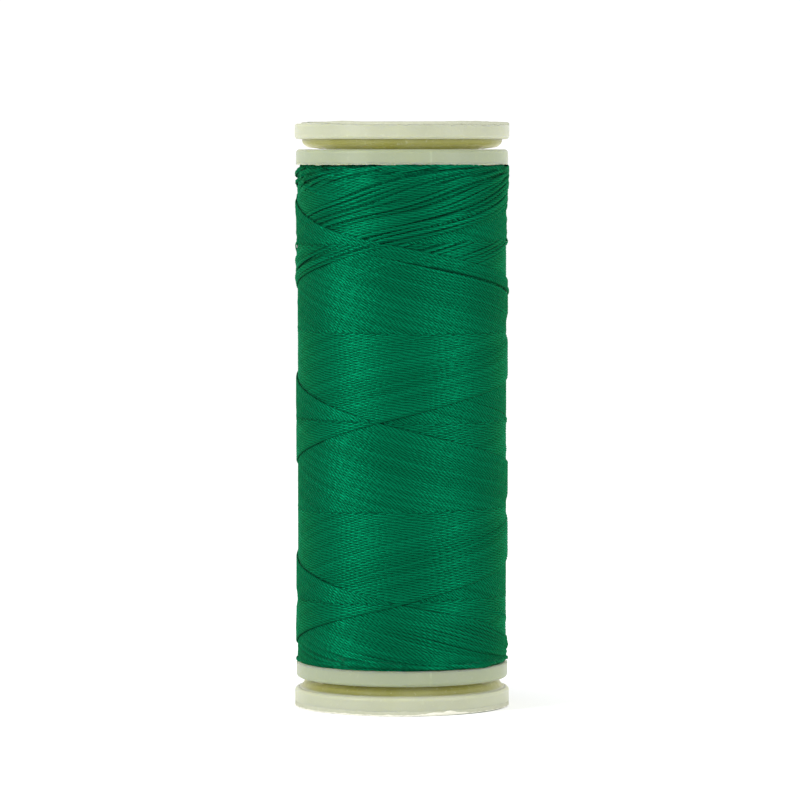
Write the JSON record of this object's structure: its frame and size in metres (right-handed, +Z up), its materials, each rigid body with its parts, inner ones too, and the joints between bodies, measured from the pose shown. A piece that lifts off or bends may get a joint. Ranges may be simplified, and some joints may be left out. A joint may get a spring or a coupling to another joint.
{
  "type": "spool of thread",
  "caption": "Spool of cross-wound green sewing thread on an ivory flanged plastic core, with snap-in end caps that slide out to open a thread-locking groove and a bore for a spool pin.",
  "frame": {"origin": "centre of the face it stands on, the outer face of the lower label", "axes": "+Z up the spool's axis, the longest extent; X and Y are across it, with the caps' keys along X"},
  "size_m": [0.0254, 0.0254, 0.0694],
  "materials": {
    "core_plastic": "translucent ivory polypropylene, satin",
    "cap_plastic": "translucent ivory polypropylene, satin",
    "label_paper": "uncoated paper with a printed face",
    "thread": "three-ply twisted sewing thread with a soft sheen"
  },
  "bodies": {
    "core": {"spool_core": "core_plastic", "thread_inner_winding": "thread", "thread_outer_winding": "thread"},
    "upper_cap": {"upper_end_cap": "cap_plastic", "upper_label": "label_paper"},
    "lower_cap": {"lower_end_cap": "cap_plastic", "lower_label": "label_paper"}
  },
  "joints": [
    {"name": "upper_cap_slide", "type": "slide", "parent": "core", "child": "upper_cap", "axis": [0, 0, 1], "range_m": [0, 0.00135]},
    {"name": "lower_cap_slide", "type": "slide", "parent": "core", "child": "lower_cap", "axis": [0, 0, -1], "range_m": [0, 0.00135]}
  ]
}
